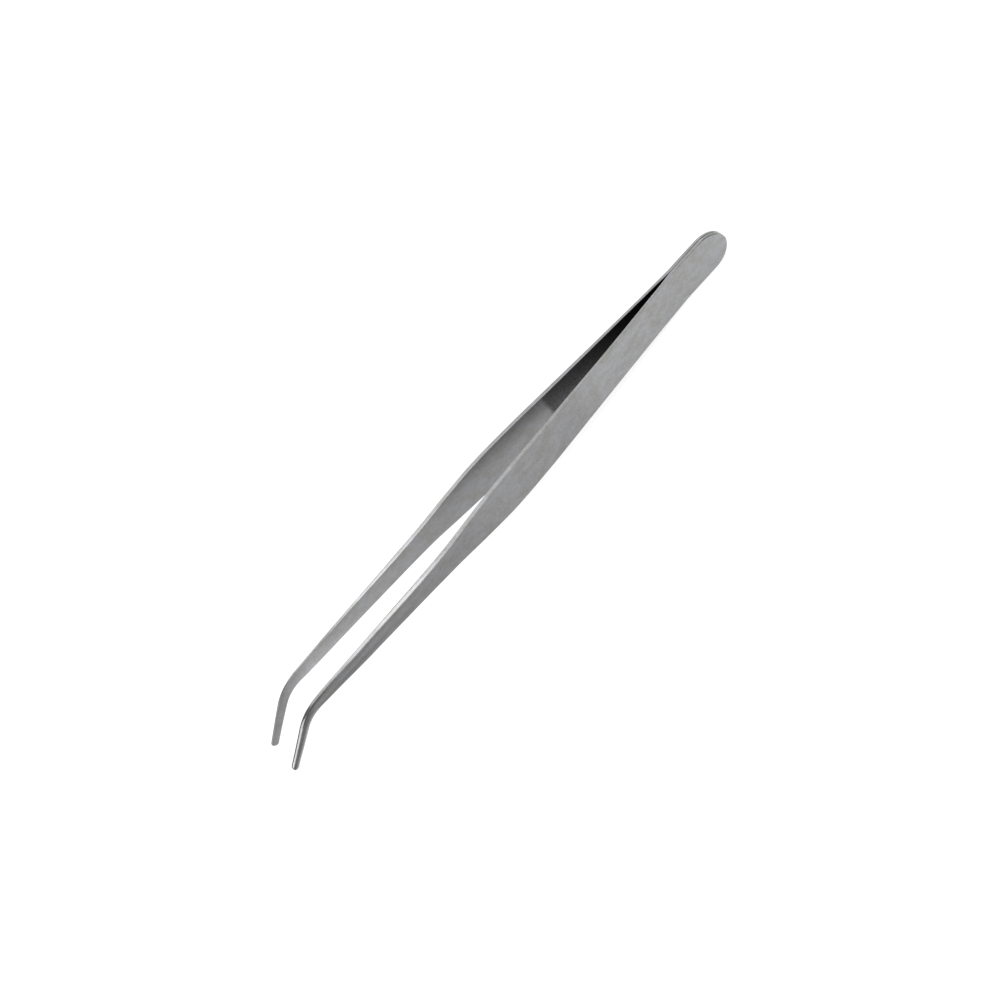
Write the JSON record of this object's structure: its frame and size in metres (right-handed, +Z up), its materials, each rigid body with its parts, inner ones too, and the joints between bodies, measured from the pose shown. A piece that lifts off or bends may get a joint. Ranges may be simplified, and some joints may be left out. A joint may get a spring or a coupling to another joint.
{
  "type": "precision tweezers",
  "caption": "Curved-nose precision tweezers: two satin steel spring arms, welded at the head, whose slender noses bend in the plane of the blades and close when squeezed.",
  "frame": {"origin": "on the surface that the tweezers lie on, under the centre of their box, with the head's lower edge and both tips touching it", "axes": "+X from the head towards the tips, +Y across the gap towards the left arm, +Z up across the width of the blades; the noses bend towards -Z"},
  "size_m": [0.1582, 0.0124, 0.012],
  "materials": {
    "satin_steel": "satin, ground lengthwise",
    "weld_metal": "as welded"
  },
  "bodies": {
    "welded_head": {"spot_weld_rear": "weld_metal", "spot_weld_front": "weld_metal"},
    "arm_left": {"arm_left": "satin_steel"},
    "arm_right": {"arm_right": "satin_steel"}
  },
  "joints": [
    {"name": "left_arm_flex", "type": "hinge", "parent": "welded_head", "child": "arm_left", "pos_m": [-0.06419, 0.00055, 0.00505], "axis": [0.0338, 0, -0.9994], "range_deg": [0, 1.88], "stiffness_Nm_per_rad": 4},
    {"name": "right_arm_flex", "type": "hinge", "parent": "welded_head", "child": "arm_right", "pos_m": [-0.06419, -0.00055, 0.00505], "axis": [-0.0338, 0, 0.9994], "range_deg": [0, 1.88], "stiffness_Nm_per_rad": 4}
  ]
}
